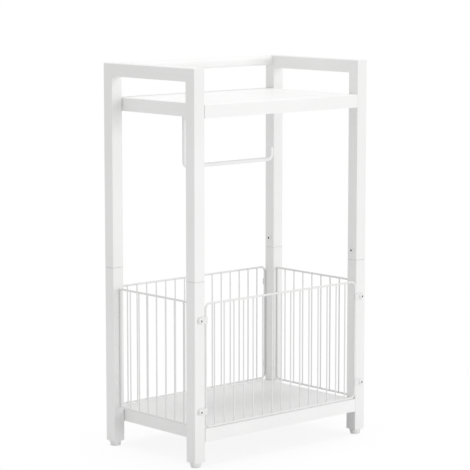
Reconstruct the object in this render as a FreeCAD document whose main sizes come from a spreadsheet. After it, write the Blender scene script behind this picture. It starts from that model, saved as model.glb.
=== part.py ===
import FreeCAD, Part
import math
import os
import Sketcher

# A free-standing bathroom stand of white square tube: two shelf trays, a wire basket round the
# lower one and a bent rod for a paper roll under the upper one.
# The origin is on the floor under the middle of the stand, +X to its right, +Y to its back, +Z up.

# Driving dimensions in millimetres, and counts: name, value, what it measures.
SIZES = (
    ("width", 440, "over the outer faces of the left and right tubes"),
    ("depth", 262, "over the front and back faces of the tubes"),
    ("height", 736, "floor to the top of the side rails"),
    ("tube", 25, "side of the square tube"),
    ("tube_wall", 1.2, "wall of the square tube"),
    ("tube_corner", 1.8, "outer corner radius of the square tube"),
    ("seam_height", 347, "floor to the top of the legs"),
    ("seam_gap", 0.5, "gap between a leg and the post above it"),
    ("sleeve_length", 120, "inner sleeve across the seam, half of it in each tube"),
    ("sleeve_wall", 2, "wall of the inner sleeve"),
    ("sleeve_corner", 1.5, "corner cut of the sleeve and of the foot plug"),
    ("sleeve_clearance", 0.15, "gap each side between a tube and what sits in it"),
    ("seam_screw_rise", 19, "seam to the axis of the screw above it"),
    ("rail", 20, "diameter of the round back rail"),
    ("rail_wall", 1.2, "wall of the back rail"),
    ("rail_end_gap", 0.3, "gap between an end of the back rail and the post"),
    ("spigot_length", 15, "reach of a spigot into the back rail"),
    ("spigot_clearance", 0.2, "gap round a spigot in the back rail"),
    ("top_shelf_drop", 66, "top of the side rails to the upper face of the top shelf"),
    ("lower_shelf", 72.5, "floor to the upper face of the lower shelf"),
    ("shelf_edge", 25, "height of a shelf tray's folded edge"),
    ("sheet", 1.2, "thickness of the shelf sheet"),
    ("shelf_lip", 9, "width of the lip turned in under a tray's edge"),
    ("shelf_bend", 1.6, "outer radius of a tray's bends"),
    ("shelf_screw_drop", 12.5, "upper face of a shelf to its screws"),
    ("rib_width", 60, "stiffener over its two flanges"),
    ("rib_web", 36, "stiffener over its channel"),
    ("rib_depth", 12, "height of the stiffener"),
    ("rib_sheet", 1.2, "thickness of the stiffener's sheet"),
    ("rib_end_gap", 3, "end of the stiffener to the tray's lip"),
    ("rim_bar", 4, "diameter of the wire round a panel"),
    ("wire", 2.6, "diameter of a panel's upright wires"),
    ("weld_sink", 0.4, "depth that welded wires and tabs sink into the bar"),
    ("wire_overrun", 0.8, "upright wire past the middle of the bar"),
    ("panel_height", 230, "bottom bar to top bar of a panel, middle to middle"),
    ("panel_corner", 10, "radius of the front and back panel's corners, at the middle of the bar"),
    ("side_panel_corner", 4, "radius of a side panel's upper corners, at the middle of the bar"),
    ("side_panel_heel", 9, "radius of a side panel's lower corners, at the middle of the bar"),
    ("panel_lift", 1, "gap between the lower shelf and the bottom bar"),
    ("panel_gap", 0.2, "gap between a panel's end bar and the leg"),
    ("side_panel_inset", 15.7, "outer face of the stand to the middle of a side panel's bar"),
    ("front_wires", 15, "upright wires of the front and of the back panel"),
    ("side_wires", 7, "upright wires of a side panel"),
    ("tab_height", 13, "height of a screw tab and diameter of its round end"),
    ("tab_sheet", 2, "thickness of a screw tab"),
    ("tab_inset", 30, "top or bottom bar of a panel to its screws"),
    ("pin", 5, "diameter of a side panel's pins"),
    ("pin_reach", 3, "reach of a pin past the wall of the leg"),
    ("pin_clearance", 0.3, "gap round a pin in the leg"),
    ("pin_inset", 48, "top or bottom bar of a side panel to its pins"),
    ("shelf_thread", 6, "diameter of a shelf screw"),
    ("shelf_head", 11, "diameter of a shelf screw's head"),
    ("shelf_head_height", 3.3, "height of a shelf screw's head"),
    ("shelf_screw_length", 14, "shelf screw under its head"),
    ("shelf_nut", 8.8, "shelf rivet nut's six-sided body, across its flats"),
    ("shelf_nut_rim", 13, "diameter of a shelf rivet nut's rim"),
    ("shelf_nut_length", 12, "shelf rivet nut behind its rim"),
    ("panel_thread", 5, "diameter of a panel, seam or holder screw"),
    ("panel_head", 10, "diameter of that screw's head"),
    ("panel_head_height", 2.8, "height of that screw's head"),
    ("panel_screw_length", 12, "that screw under its head"),
    ("panel_nut", 6.8, "its rivet nut's six-sided body, across its flats"),
    ("panel_nut_rim", 11, "diameter of its rivet nut's rim"),
    ("panel_nut_length", 10.5, "its rivet nut behind its rim"),
    ("nut_rim", 0.5, "thickness of the rim of every rivet nut"),
    ("nut_clearance", 0.1, "gap round a rivet nut's body"),
    ("thread_clearance", 0.1, "gap round a screw in its nut"),
    ("hole_clearance", 0.3, "gap round a screw in a clear hole"),
    ("rod", 8, "diameter of the roll holder's rod"),
    ("rod_drop", 127, "upper face of the top shelf to the axis of the roll holder's rod"),
    ("rod_bend", 10, "radius of the rod's bends, at its axis"),
    ("rod_inset", 63, "inner face of the left posts to the rod's upright leg"),
    ("rod_reach", 222, "rod's upright leg to its turned-up tip"),
    ("rod_tip", 24, "axis of the rod to the end of its tip"),
    ("plate_length", 62, "length of the roll holder's plate"),
    ("plate_width", 28, "width of the roll holder's plate"),
    ("plate_sheet", 3, "thickness of the roll holder's plate"),
    ("plate_pitch", 42, "spacing of the two screws of the roll holder's plate"),
    ("foot_height", 10, "floor to the lower end of the legs, with the feet screwed right in"),
    ("foot_gap", 0.3, "gap between a foot and its leg, screwed right in"),
    ("pad_top", 22.6, "largest diameter of a foot"),
    ("pad_bottom", 19, "diameter of a foot at the floor, before its bevel"),
    ("pad_bevel", 1.2, "bevel on a foot's lower rim"),
    ("pad_floor", 3, "floor to the lower end of the stem in the foot"),
    ("stem", 8, "diameter of a foot's threaded stem"),
    ("stem_length", 28, "length of a foot's threaded stem"),
    ("stem_clearance", 0.3, "gap round the stem in its plug"),
    ("pad_clearance", 0.05, "gap round the stem in the foot moulded on it"),
    ("plug_height", 20, "height of the threaded plug in a leg's lower end"),
)


class Size:
    """A length of the sheet, or one worked out from several, as a formula and as a number."""

    def __init__(self, text, value):
        self.text = text
        self.value = value

    def _join(self, sign, other, result):
        return Size(f"({self.text} {sign} {formula(other)})", result)

    def __add__(self, other):
        return self._join("+", other, self.value + number(other))

    def __sub__(self, other):
        return self._join("-", other, self.value - number(other))

    def __mul__(self, other):
        return self._join("*", other, self.value * number(other))

    def __truediv__(self, other):
        return self._join("/", other, self.value / number(other))

    def __neg__(self):
        return self * -1

    __rmul__ = __mul__


def formula(item):
    return item.text if isinstance(item, Size) else str(item)


def number(item):
    return item.value if isinstance(item, Size) else float(item)


class Sizes:
    """The sheet of driving dimensions, each one read by its name."""

    def __init__(self, table):
        table_sheet = doc.addObject("Spreadsheet::Sheet", "Sizes")
        for row, (name, value, meaning) in enumerate(table, start=1):
            table_sheet.set(f"A{row}", meaning)
            table_sheet.set(f"B{row}", str(value))
            table_sheet.setAlias(f"B{row}", name)
            setattr(self, name, Size(f"Sizes.{name}", float(value)))
        doc.recompute()


doc = FreeCAD.newDocument("toilet_paper_stand")
size = Sizes(SIZES)
pieces = []

# Sections that repeat many times, or run round bends, have few sides.
WIRE_SIDES = 6
NUT_SIDES = 6
ROUND_SIDES = 8
ROD_SIDES = 12
PAD_SIDES = 16

# Places that several pieces share.
post_x = (size.width - size.tube) / 2
post_y = (size.depth - size.tube) / 2
inner_x = size.width / 2 - size.tube
upper_foot = size.seam_height + size.seam_gap
seam_screw_z = size.seam_height + size.seam_screw_rise
tube_bore = size.tube - size.tube_wall * 2
sleeve_side = tube_bore - size.sleeve_clearance * 2
rail_z = size.height - size.rail / 2
spigot_round = size.rail - size.rail_wall * 2 - size.spigot_clearance * 2
spigot_width = spigot_round * round(math.cos(math.pi / ROD_SIDES), 9)
tray_width = size.width - size.tube * 2 - size.nut_rim * 2
panel_foot = size.lower_shelf + size.panel_lift + size.rim_bar / 2
panel_middle = panel_foot + size.panel_height / 2
panel_bar_y = size.depth / 2 + size.nut_rim - size.rim_bar / 2 + size.weld_sink
side_bar_x = size.width / 2 - size.side_panel_inset
front_span = size.width - size.tube * 2 - size.panel_gap * 2 - size.rim_bar
side_span = size.depth - size.tube * 2 - size.panel_gap * 2 - size.rim_bar
tab_spread = size.panel_height - size.tab_inset * 2
pin_spread = size.panel_height - size.pin_inset * 2
top_shelf = size.height - size.top_shelf_drop
rod_x = size.rod_inset - inner_x
rod_z = top_shelf - size.rod_drop
rib_foot = top_shelf - size.sheet - size.rib_depth
plate_top = rib_foot - size.nut_rim
plate_foot = plate_top - size.plate_sheet
shelf_nut_hole = size.shelf_nut + size.nut_clearance * 2
panel_nut_hole = size.panel_nut + size.nut_clearance * 2
panel_clear_hole = size.panel_thread + size.hole_clearance * 2


def bind(item, path, length):
    """Ties one property of an object to its formula."""
    item.setExpression(path, formula(length))


def new_body(label):
    """Starts a sub-part, whose label names its file."""
    body = doc.addObject("PartDesign::Body", label)
    body.Label = label
    body.AllowCompound = True
    pieces.append(body)
    return body


def origin(body, role):
    """Gives a plane or an axis of the body's own origin."""
    return next(item for item in body.Origin.OriginFeatures if item.Role == role)


def new_sketch(body, role, x=0, y=0, z=0):
    """Starts a sketch on an origin plane, moved by x and y in that plane and by z off it."""
    sketch = body.newObject("Sketcher::SketchObject", f"{body.Name}_sketch")
    sketch.AttachmentSupport = (origin(body, role), "")
    sketch.MapMode = "FlatFace"
    for axis, shift in (("x", x), ("y", y), ("z", z)):
        bind(sketch, f".AttachmentOffset.Base.{axis}", shift)
    return sketch


def fix_point(sketch, geometry, point, x, y):
    """Holds a point of a sketch at x, y from the sketch's origin."""
    for kind, length in (("DistanceX", x), ("DistanceY", y)):
        index = sketch.addConstraint(Sketcher.Constraint(kind, -1, 1, geometry, point, number(length)))
        bind(sketch, f"Constraints[{index}]", length)


def draw_circle(sketch, diameter, x=0, y=0):
    """Draws a circle with its middle at x, y."""
    middle = FreeCAD.Vector(number(x), number(y), 0)
    circle = sketch.addGeometry(Part.Circle(middle, FreeCAD.Vector(0, 0, 1), number(diameter) / 2), False)
    index = sketch.addConstraint(Sketcher.Constraint("Diameter", circle, number(diameter)))
    bind(sketch, f"Constraints[{index}]", diameter)
    fix_point(sketch, circle, 3, x, y)


def draw_line(sketch, corners, closed=True):
    """Draws straight edges from corner to corner, each corner a pair of lengths."""
    points = [FreeCAD.Vector(number(x), number(y), 0) for x, y in corners]
    ends = points[1:] + points[:1] if closed else points[1:]
    edges = [sketch.addGeometry(Part.LineSegment(a, b), False) for a, b in zip(points, ends)]
    for first, second in zip(edges, edges[1:]):
        sketch.addConstraint(Sketcher.Constraint("Coincident", first, 2, second, 1))
    if closed:
        sketch.addConstraint(Sketcher.Constraint("Coincident", edges[-1], 2, edges[0], 1))
    for edge, (x, y) in zip(edges, corners):
        fix_point(sketch, edge, 1, x, y)
    if not closed:
        fix_point(sketch, edges[-1], 2, *corners[-1])


def draw_polygon(sketch, across, x=0, y=0, sides=ROUND_SIDES):
    """Draws a regular polygon with its middle at x, y, given its width across flats."""
    half_turn = math.pi / sides
    corners = []
    for corner in range(sides):
        angle = half_turn * (corner * 2 + 1)
        right = round(math.cos(angle) / math.cos(half_turn) / 2, 9)
        up = round(math.sin(angle) / math.cos(half_turn) / 2, 9)
        corners.append((across * right + x, across * up + y))
    draw_line(sketch, corners)


def draw_rectangle(sketch, wide, high):
    """Draws a rectangle about the sketch's origin."""
    x = wide / 2
    y = high / 2
    draw_line(sketch, ((-x, -y), (x, -y), (x, y), (-x, y)))


def draw_cut_square(sketch, side, cut):
    """Draws a square with its corners cut off about the sketch's origin."""
    far = side / 2
    near = far - cut
    draw_line(sketch, ((near, -far), (far, -near), (far, near), (near, far),
                       (-near, far), (-far, near), (-far, -near), (-near, -far)))


def draw_rounded(sketch, wide, high, upper, lower):
    """Draws a rectangle about the sketch's origin, with a radius for its upper and its lower corners."""
    radii = (lower, upper, upper, lower)
    ways = ((1, -1), (1, 1), (-1, 1), (-1, -1))
    turns = [((wide / 2 - radius) * x, (high / 2 - radius) * y) for radius, (x, y) in zip(radii, ways)]
    middles = [FreeCAD.Vector(number(x), number(y), 0) for x, y in turns]
    loop = []
    for quarter, middle in enumerate(middles):
        start = (quarter - 1) * math.pi / 2
        side = FreeCAD.Vector(math.cos(start), math.sin(start), 0)
        circle = Part.Circle(middle, FreeCAD.Vector(0, 0, 1), number(radii[quarter]))
        head = middles[quarter - 1] + side * number(radii[quarter - 1])
        tail = middle + side * number(radii[quarter])
        loop.append(sketch.addGeometry(Part.LineSegment(head, tail), False))
        loop.append(sketch.addGeometry(Part.ArcOfCircle(circle, start, start + math.pi / 2), False))
    for first, second in zip(loop, loop[1:] + loop[:1]):
        sketch.addConstraint(Sketcher.Constraint("Tangent", first, 2, second, 1))
    for edge, direction in zip(loop[::2], ("Horizontal", "Vertical", "Horizontal", "Vertical")):
        sketch.addConstraint(Sketcher.Constraint(direction, edge))
    for first, second, radius in ((loop[1], loop[7], lower), (loop[3], loop[5], upper)):
        sketch.addConstraint(Sketcher.Constraint("Equal", first, second))
        index = sketch.addConstraint(Sketcher.Constraint("Radius", first, number(radius)))
        bind(sketch, f"Constraints[{index}]", radius)
    fix_point(sketch, loop[1], 3, *turns[0])
    fix_point(sketch, loop[5], 3, *turns[2])


def pad(body, sketch, length, both_ways=False, reverse=False):
    """Raises a sketch into a solid."""
    feature = body.newObject("PartDesign::Pad", f"{body.Name}_pad")
    feature.Profile = sketch
    bind(feature, "Length", length)
    feature.SideType = "Symmetric" if both_ways else "One side"
    feature.Reversed = reverse
    body.Tip = feature
    return feature


def pocket(body, sketch, length=None, both_ways=False, reverse=False):
    """Cuts a sketch out of the solid, right through where no length is given."""
    doc.recompute()
    before = body.Tip.Shape.Volume
    feature = body.newObject("PartDesign::Pocket", f"{body.Name}_pocket")
    feature.Profile = sketch
    if length is None:
        feature.Type = "ThroughAll"
    else:
        bind(feature, "Length", length)
    feature.SideType = "Symmetric" if both_ways else "One side"
    feature.Reversed = reverse
    body.Tip = feature
    doc.recompute()
    if not feature.Shape.Volume < before:
        raise ValueError(f"{feature.Name} cuts nothing")
    return feature


def pipe(body, profile, path, corners="Transformed"):
    """Carries a profile along a path."""
    feature = body.newObject("PartDesign::AdditivePipe", f"{body.Name}_pipe")
    feature.Profile = profile
    feature.Spine = (path, [])
    feature.Transition = corners
    body.Tip = feature
    return feature


def named(kind, items, chosen):
    """Names the faces or edges of a shape for which chosen(item) holds."""
    return [f"{kind}{place}" for place, item in enumerate(items, start=1) if chosen(item)]


def widen(body, rise, spread):
    """Slopes the upright walls outward, so that they gain spread over a rise from the floor."""
    doc.recompute()
    base = body.Tip
    feature = body.newObject("PartDesign::Draft", f"{body.Name}_slope")
    feature.Base = (base, named("Face", base.Shape.Faces, lambda face: face.BoundBox.ZLength > 0.001))
    feature.NeutralPlane = (origin(body, "XY_Plane"), [""])
    feature.Reversed = True
    feature.setExpression("Angle", f"atan({formula(spread)} / {formula(rise)})")
    body.Tip = feature


def chamfer(body, width, chosen):
    """Cuts the edges of the solid so far for which chosen(edge) holds."""
    doc.recompute()
    base = body.Tip
    feature = body.newObject("PartDesign::Chamfer", f"{body.Name}_bevel")
    feature.Base = (base, named("Edge", base.Shape.Edges, chosen))
    bind(feature, "Size", width)
    body.Tip = feature


def fillet(body, radius, chosen):
    """Rounds the edges of the solid so far for which chosen(edge) holds."""
    doc.recompute()
    base = body.Tip
    feature = body.newObject("PartDesign::Fillet", f"{body.Name}_round")
    feature.Base = (base, named("Edge", base.Shape.Edges, chosen))
    bind(feature, "Radius", radius)
    body.Tip = feature


def row_of(body, features, axis, length, count):
    """Repeats features in a row."""
    row = body.newObject("PartDesign::LinearPattern", f"{body.Name}_row")
    row.Originals = features
    row.Direction = (origin(body, axis), [""])
    bind(row, "Length", length)
    bind(row, "Occurrences", count)
    body.Tip = row
    return row


def repeat(body, features, mirrors, axis="Z_Axis", spread=None):
    """Doubles features along an axis, where a spread is given, and then in mirror planes."""
    steps = []
    if spread is not None:
        pair = body.newObject("PartDesign::LinearPattern", f"{body.Name}_pair")
        pair.Direction = (origin(body, axis), [""])
        bind(pair, "Length", spread)
        pair.Occurrences = 2
        steps.append(pair)
    for role in mirrors:
        mirror = body.newObject("PartDesign::Mirrored", f"{body.Name}_mirror")
        mirror.MirrorPlane = (origin(body, role), [""])
        steps.append(mirror)
    group = body.newObject("PartDesign::MultiTransform", f"{body.Name}_group")
    group.Originals = features
    group.Transformations = steps
    body.Tip = group


def place(body, x=0, y=0, z=0, turn=0):
    """Puts a body at its place in the stand, turned about Z."""
    body.Placement = FreeCAD.Placement(FreeCAD.Vector(), FreeCAD.Rotation(FreeCAD.Vector(0, 0, 1), turn))
    for axis, shift in (("x", x), ("y", y), ("z", z)):
        bind(body, f"Placement.Base.{axis}", shift)


# Square tube frame.

def draw_tube(sketch):
    """Draws the section of the square tube about the sketch's origin."""
    draw_rounded(sketch, size.tube, size.tube, size.tube_corner, size.tube_corner)
    draw_rectangle(sketch, tube_bore, tube_bore)


def make_upper_frame(label, side):
    """Inverted U of mitred tube with its screw holes and rail spigot; side is -1 left, 1 right."""
    body = new_body(label)
    path = new_sketch(body, "YZ_Plane")
    rail_axis = size.height - size.tube / 2
    draw_line(path, ((-post_y, upper_foot), (-post_y, rail_axis), (post_y, rail_axis),
                     (post_y, upper_foot)), closed=False)
    section = new_sketch(body, "XY_Plane", y=-post_y, z=upper_foot)
    draw_tube(section)
    pipe(body, section, path, "Right corner")
    spigot = new_sketch(body, "YZ_Plane", x=post_y, y=rail_z, z=size.tube / 2 * -side)
    draw_polygon(spigot, spigot_width, sides=ROD_SIDES)
    pad(body, spigot, size.spigot_length, reverse=side > 0)
    holes = new_sketch(body, "YZ_Plane")
    for post in (-1, 1):
        draw_polygon(holes, panel_clear_hole, post_y * post, seam_screw_z)
        draw_polygon(holes, shelf_nut_hole, post_y * post, top_shelf - size.shelf_screw_drop, NUT_SIDES)
    pocket(body, holes, size.tube, reverse=side < 0)
    place(body, x=post_x * side)


def make_leg(label, side, end):
    """Lower leg tube with the holes for shelf, panel screws and panel pins; end is -1 front, 1 back."""
    body = new_body(label)
    section = new_sketch(body, "XY_Plane", z=size.foot_height)
    draw_tube(section)
    pad(body, section, size.seam_height - size.foot_height)
    shelf_hole = new_sketch(body, "YZ_Plane", y=size.lower_shelf - size.shelf_screw_drop)
    draw_polygon(shelf_hole, shelf_nut_hole, sides=NUT_SIDES)
    pocket(body, shelf_hole, size.tube, reverse=side < 0)
    tab_holes = new_sketch(body, "XZ_Plane", y=panel_middle)
    pin_holes = new_sketch(body, "XZ_Plane", x=(size.tube / 2 - size.side_panel_inset) * side, y=panel_middle)
    for level in (-1, 1):
        draw_polygon(tab_holes, panel_nut_hole, 0, tab_spread / 2 * level, NUT_SIDES)
        draw_polygon(pin_holes, size.pin + size.pin_clearance * 2, 0, pin_spread / 2 * level)
    pocket(body, tab_holes, size.tube, reverse=end < 0)
    pocket(body, pin_holes, size.tube, reverse=end > 0)
    place(body, x=post_x * side, y=post_y * end)


def make_sleeve(label, side, end):
    """Square sleeve inside the seam of a post, with the threaded hole of the seam screw."""
    body = new_body(label)
    section = new_sketch(body, "XY_Plane", z=size.seam_height - size.sleeve_length / 2)
    draw_cut_square(section, sleeve_side, size.sleeve_corner)
    bore = sleeve_side - size.sleeve_wall * 2
    draw_rectangle(section, bore, bore)
    pad(body, section, size.sleeve_length)
    hole = new_sketch(body, "YZ_Plane", y=seam_screw_z)
    draw_polygon(hole, size.panel_thread + size.thread_clearance * 2)
    pocket(body, hole, size.tube, reverse=side < 0)
    place(body, x=post_x * side, y=post_y * end)


def make_back_rail():
    """Round tube between the back posts, held on their spigots."""
    body = new_body("back_rail")
    section = new_sketch(body, "YZ_Plane", x=post_y, y=rail_z)
    draw_circle(section, size.rail)
    draw_circle(section, size.rail - size.rail_wall * 2)
    pad(body, section, size.width - size.tube * 2 - size.rail_end_gap * 2, both_ways=True)


# Shelves.

def make_tray(label, level):
    """Shelf tray folded from sheet: edges turned down and their lips turned in."""
    body = new_body(label)
    foot = level - size.shelf_edge
    sheet = new_sketch(body, "XY_Plane", z=foot)
    draw_rectangle(sheet, tray_width, size.depth)
    pad(body, sheet, size.shelf_edge)
    top = number(level) - 0.001
    fillet(body, size.shelf_bend, lambda edge: edge.BoundBox.ZMin > top)
    mouth = new_sketch(body, "XY_Plane", z=foot)
    draw_rectangle(mouth, tray_width - size.shelf_lip * 2, size.depth - size.shelf_lip * 2)
    pocket(body, mouth, size.shelf_edge - size.sheet, reverse=True)
    hollow = new_sketch(body, "XY_Plane", z=foot + size.shelf_edge / 2)
    draw_rectangle(hollow, tray_width - size.sheet * 2, size.depth - size.sheet * 2)
    pocket(body, hollow, size.shelf_edge - size.sheet * 2, both_ways=True)
    holes = new_sketch(body, "YZ_Plane", y=level - size.shelf_screw_drop)
    for end in (-1, 1):
        draw_polygon(holes, size.shelf_thread + size.hole_clearance * 2, post_y * end)
    pocket(body, holes, both_ways=True)


def make_stiffener(label, level, carries_holder):
    """Hat channel welded under a tray from side to side; one carries the roll holder."""
    body = new_body(label)
    section = new_sketch(body, "YZ_Plane", y=level - size.sheet)
    flange = size.rib_width / 2
    outer = size.rib_web / 2
    inner = outer - size.rib_sheet
    floor = -(size.rib_depth - size.rib_sheet)
    draw_line(section, ((-flange, 0), (-inner, 0), (-inner, floor), (inner, floor), (inner, 0), (flange, 0),
                        (flange, -size.rib_sheet), (outer, -size.rib_sheet), (outer, -size.rib_depth),
                        (-outer, -size.rib_depth), (-outer, -size.rib_sheet), (-flange, -size.rib_sheet)))
    pad(body, section, tray_width - size.shelf_lip * 2 - size.rib_end_gap * 2, both_ways=True)
    if carries_holder:
        holes = new_sketch(body, "XY_Plane", x=rod_x, z=level - size.sheet)
        for end in (-1, 1):
            draw_polygon(holes, panel_nut_hole, size.plate_pitch / 2 * end, sides=NUT_SIDES)
        pocket(body, holes)


# Wire panels.

def make_panel(label, span, wires, corners, turn, x=0, y=0, on_tabs=True):
    """Wire panel: a bent and closed bar, upright wires welded inside it, and its tabs or pins.

    It is drawn facing the front, with its wires behind the bar, and then turned to its side.
    """
    body = new_body(label)
    half = size.panel_height / 2
    path = new_sketch(body, "XZ_Plane")
    draw_rounded(path, span, size.panel_height, *corners)
    section = new_sketch(body, "YZ_Plane", y=-half)
    draw_polygon(section, size.rim_bar)
    pipe(body, section, path)
    pitch = span / (wires + 1)
    inside = (size.rim_bar + size.wire) / 2 - size.weld_sink
    upright = new_sketch(body, "XY_Plane", x=pitch - span / 2, y=inside, z=-half - size.wire_overrun)
    draw_polygon(upright, size.wire, sides=WIRE_SIDES)
    first = pad(body, upright, size.panel_height + size.wire_overrun * 2)
    row_of(body, [first], "X_Axis", pitch * (wires - 1), wires)
    if on_tabs:
        add_tabs(body, span)
    else:
        add_pins(body, span)
    place(body, x=x, y=y, z=panel_middle, turn=turn)


def add_tabs(body, span):
    """Flat screw tabs with round ends, welded on the front of the end bars."""
    start = span / 2 - size.rim_bar / 2
    length = post_x - start
    face = size.rim_bar / 2 - size.weld_sink
    level = -tab_spread / 2
    strip = new_sketch(body, "XZ_Plane", x=start + length / 2, y=level, z=face)
    draw_rectangle(strip, length, size.tab_height)
    tab = pad(body, strip, size.tab_sheet)
    disc = new_sketch(body, "XZ_Plane", x=post_x, y=level, z=face)
    draw_polygon(disc, size.tab_height, sides=PAD_SIDES)
    tab_end = pad(body, disc, size.tab_sheet)
    hole = new_sketch(body, "XZ_Plane", x=post_x, y=level)
    draw_polygon(hole, panel_clear_hole)
    tab_hole = pocket(body, hole, both_ways=True)
    repeat(body, [tab, tab_end, tab_hole], ["YZ_Plane"], spread=tab_spread)


def add_pins(body, span):
    """Pins on the outer sides of the end bars, which sit in the legs."""
    section = new_sketch(body, "YZ_Plane", y=-pin_spread / 2, z=span / 2)
    draw_polygon(section, size.pin)
    pin = pad(body, section, size.rim_bar / 2 + size.panel_gap + size.tube_wall + size.pin_reach)
    repeat(body, [pin], ["YZ_Plane"], spread=pin_spread)


# Roll holder.

def make_roll_holder():
    """Bent rod with a turned-up tip, welded under the plate that screws to the top stiffener."""
    body = new_body("roll_holder_rod")
    drop = plate_foot - rod_z
    path = new_sketch(body, "XZ_Plane", x=rod_x, y=rod_z)
    draw_rod_path(path, drop)
    section = new_sketch(body, "XY_Plane", x=rod_x, z=plate_foot)
    draw_polygon(section, size.rod, sides=ROD_SIDES)
    pipe(body, section, path)
    plate = new_sketch(body, "XY_Plane", x=rod_x, z=plate_foot)
    draw_rectangle(plate, size.plate_length, size.plate_width)
    pad(body, plate, size.plate_sheet)
    holes = new_sketch(body, "XY_Plane", x=rod_x, z=plate_top)
    for end in (-1, 1):
        draw_polygon(holes, panel_clear_hole, size.plate_pitch / 2 * end)
    pocket(body, holes, size.plate_sheet)


def draw_rod_path(sketch, drop):
    """Draws the rod's axis from the plate down, along and up to its tip, with round bends."""
    bend = size.rod_bend
    reach = size.rod_reach
    up = FreeCAD.Vector(0, 0, 1)
    first = Part.Circle(FreeCAD.Vector(number(bend), number(bend), 0), up, number(bend))
    second = Part.Circle(FreeCAD.Vector(number(reach - bend), number(bend), 0), up, number(bend))
    runs = (((0, drop), (0, bend)), ((bend, 0), (reach - bend, 0)), ((reach, bend), (reach, size.rod_tip)))
    ends = [[FreeCAD.Vector(number(x), number(y), 0) for x, y in run] for run in runs]
    leg, along, tip = [sketch.addGeometry(Part.LineSegment(*pair), False) for pair in ends]
    turn_in = sketch.addGeometry(Part.ArcOfCircle(first, math.pi, math.pi * 1.5), False)
    turn_up = sketch.addGeometry(Part.ArcOfCircle(second, -math.pi / 2, 0), False)
    for edge, edge_end, arc, arc_end in ((leg, 2, turn_in, 1), (along, 1, turn_in, 2),
                                         (along, 2, turn_up, 1), (tip, 1, turn_up, 2)):
        sketch.addConstraint(Sketcher.Constraint("Tangent", edge, edge_end, arc, arc_end))
    sketch.addConstraint(Sketcher.Constraint("Vertical", leg))
    sketch.addConstraint(Sketcher.Constraint("Horizontal", along))
    sketch.addConstraint(Sketcher.Constraint("Vertical", tip))
    fix_point(sketch, leg, 1, 0, drop)
    fix_point(sketch, turn_in, 3, bend, bend)
    fix_point(sketch, turn_up, 3, reach - bend, bend)
    height = sketch.addConstraint(Sketcher.Constraint("DistanceY", -1, 1, tip, 2, number(size.rod_tip)))
    bind(sketch, f"Constraints[{height}]", size.rod_tip)


# Screws and rivet nuts, in groups of separate solids.

def panel_screw():
    """Stages of the small screw of the panels, the seams and the roll holder: head, then shank."""
    return (((size.panel_head, ROUND_SIDES),), size.panel_head_height), (
        ((size.panel_thread, ROUND_SIDES),), size.panel_screw_length)


def shelf_screw():
    """Stages of the screw that holds a shelf tray to a post."""
    return (((size.shelf_head, ROUND_SIDES),), size.shelf_head_height), (
        ((size.shelf_thread, ROUND_SIDES),), size.shelf_screw_length)


def panel_nut():
    """Stages of the small screw's rivet nut: rim, then body, both with the bore."""
    bore = (size.panel_thread + size.thread_clearance * 2, ROUND_SIDES)
    return (((size.panel_nut_rim, ROUND_SIDES), bore), size.nut_rim), (
        ((size.panel_nut, NUT_SIDES), bore), size.panel_nut_length)


def shelf_nut():
    """Stages of the shelf screw's rivet nut."""
    bore = (size.shelf_thread + size.thread_clearance * 2, ROUND_SIDES)
    return (((size.shelf_nut_rim, ROUND_SIDES), bore), size.nut_rim), (
        ((size.shelf_nut, NUT_SIDES), bore), size.shelf_nut_length)


def make_group(label, stages, plane, point, mirrors=(), axis="Z_Axis", spread=None):
    """Builds one fastener in stages from point and repeats it.

    On the YZ plane it points left, on the XZ plane to the back and on the XY plane up. A stage is
    its outlines, each a width across flats and a count of sides, and its length.
    """
    body = new_body(label)
    x, y, z = point
    across, up, off = {"YZ_Plane": (y, z, x), "XZ_Plane": (x, z, -y), "XY_Plane": (x, y, z)}[plane]
    against = plane != "XY_Plane"
    features = []
    for outlines, length in stages:
        sketch = new_sketch(body, plane, x=across, y=up, z=off)
        for width, sides in outlines:
            draw_polygon(sketch, width, sides=sides)
        features.append(pad(body, sketch, length, reverse=against))
        off = off - length if against else off + length
    repeat(body, features, mirrors, axis, spread)


def make_fasteners():
    """All screws and rivet nuts; a group is drawn at the front left and mirrored from there."""
    both = ("YZ_Plane", "XZ_Plane")
    tray_inside = -tray_width / 2 + size.sheet + size.shelf_head_height
    for level, name in ((top_shelf, "top"), (size.lower_shelf, "lower")):
        make_group(f"{name}_shelf_screws", shelf_screw(), "YZ_Plane",
                   (tray_inside, -post_y, level - size.shelf_screw_drop), both)
    make_group("shelf_rivet_nuts", shelf_nut(), "YZ_Plane",
               (-inner_x + size.nut_rim, -post_y, size.lower_shelf - size.shelf_screw_drop), both,
               spread=top_shelf - size.lower_shelf)
    make_group("seam_screws", panel_screw(), "YZ_Plane",
               (-inner_x + size.panel_head_height, -post_y, seam_screw_z), both)
    post_face = -size.depth / 2 - size.nut_rim
    tab_z = panel_middle - tab_spread / 2
    make_group("panel_screws", panel_screw(), "XZ_Plane",
               (-post_x, post_face - size.tab_sheet - size.panel_head_height, tab_z), both, spread=tab_spread)
    make_group("panel_rivet_nuts", panel_nut(), "XZ_Plane", (-post_x, post_face, tab_z), both,
               spread=tab_spread)
    holder_x = rod_x - size.plate_pitch / 2
    middle_y = size.depth * 0
    screw_foot = plate_foot - size.panel_head_height
    make_group("roll_holder_screws", panel_screw(), "XY_Plane", (holder_x, middle_y, screw_foot),
               axis="X_Axis", spread=size.plate_pitch)
    make_group("roll_holder_nuts", panel_nut(), "XY_Plane", (holder_x, middle_y, plate_top), axis="X_Axis",
               spread=size.plate_pitch)


# Feet.

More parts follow.
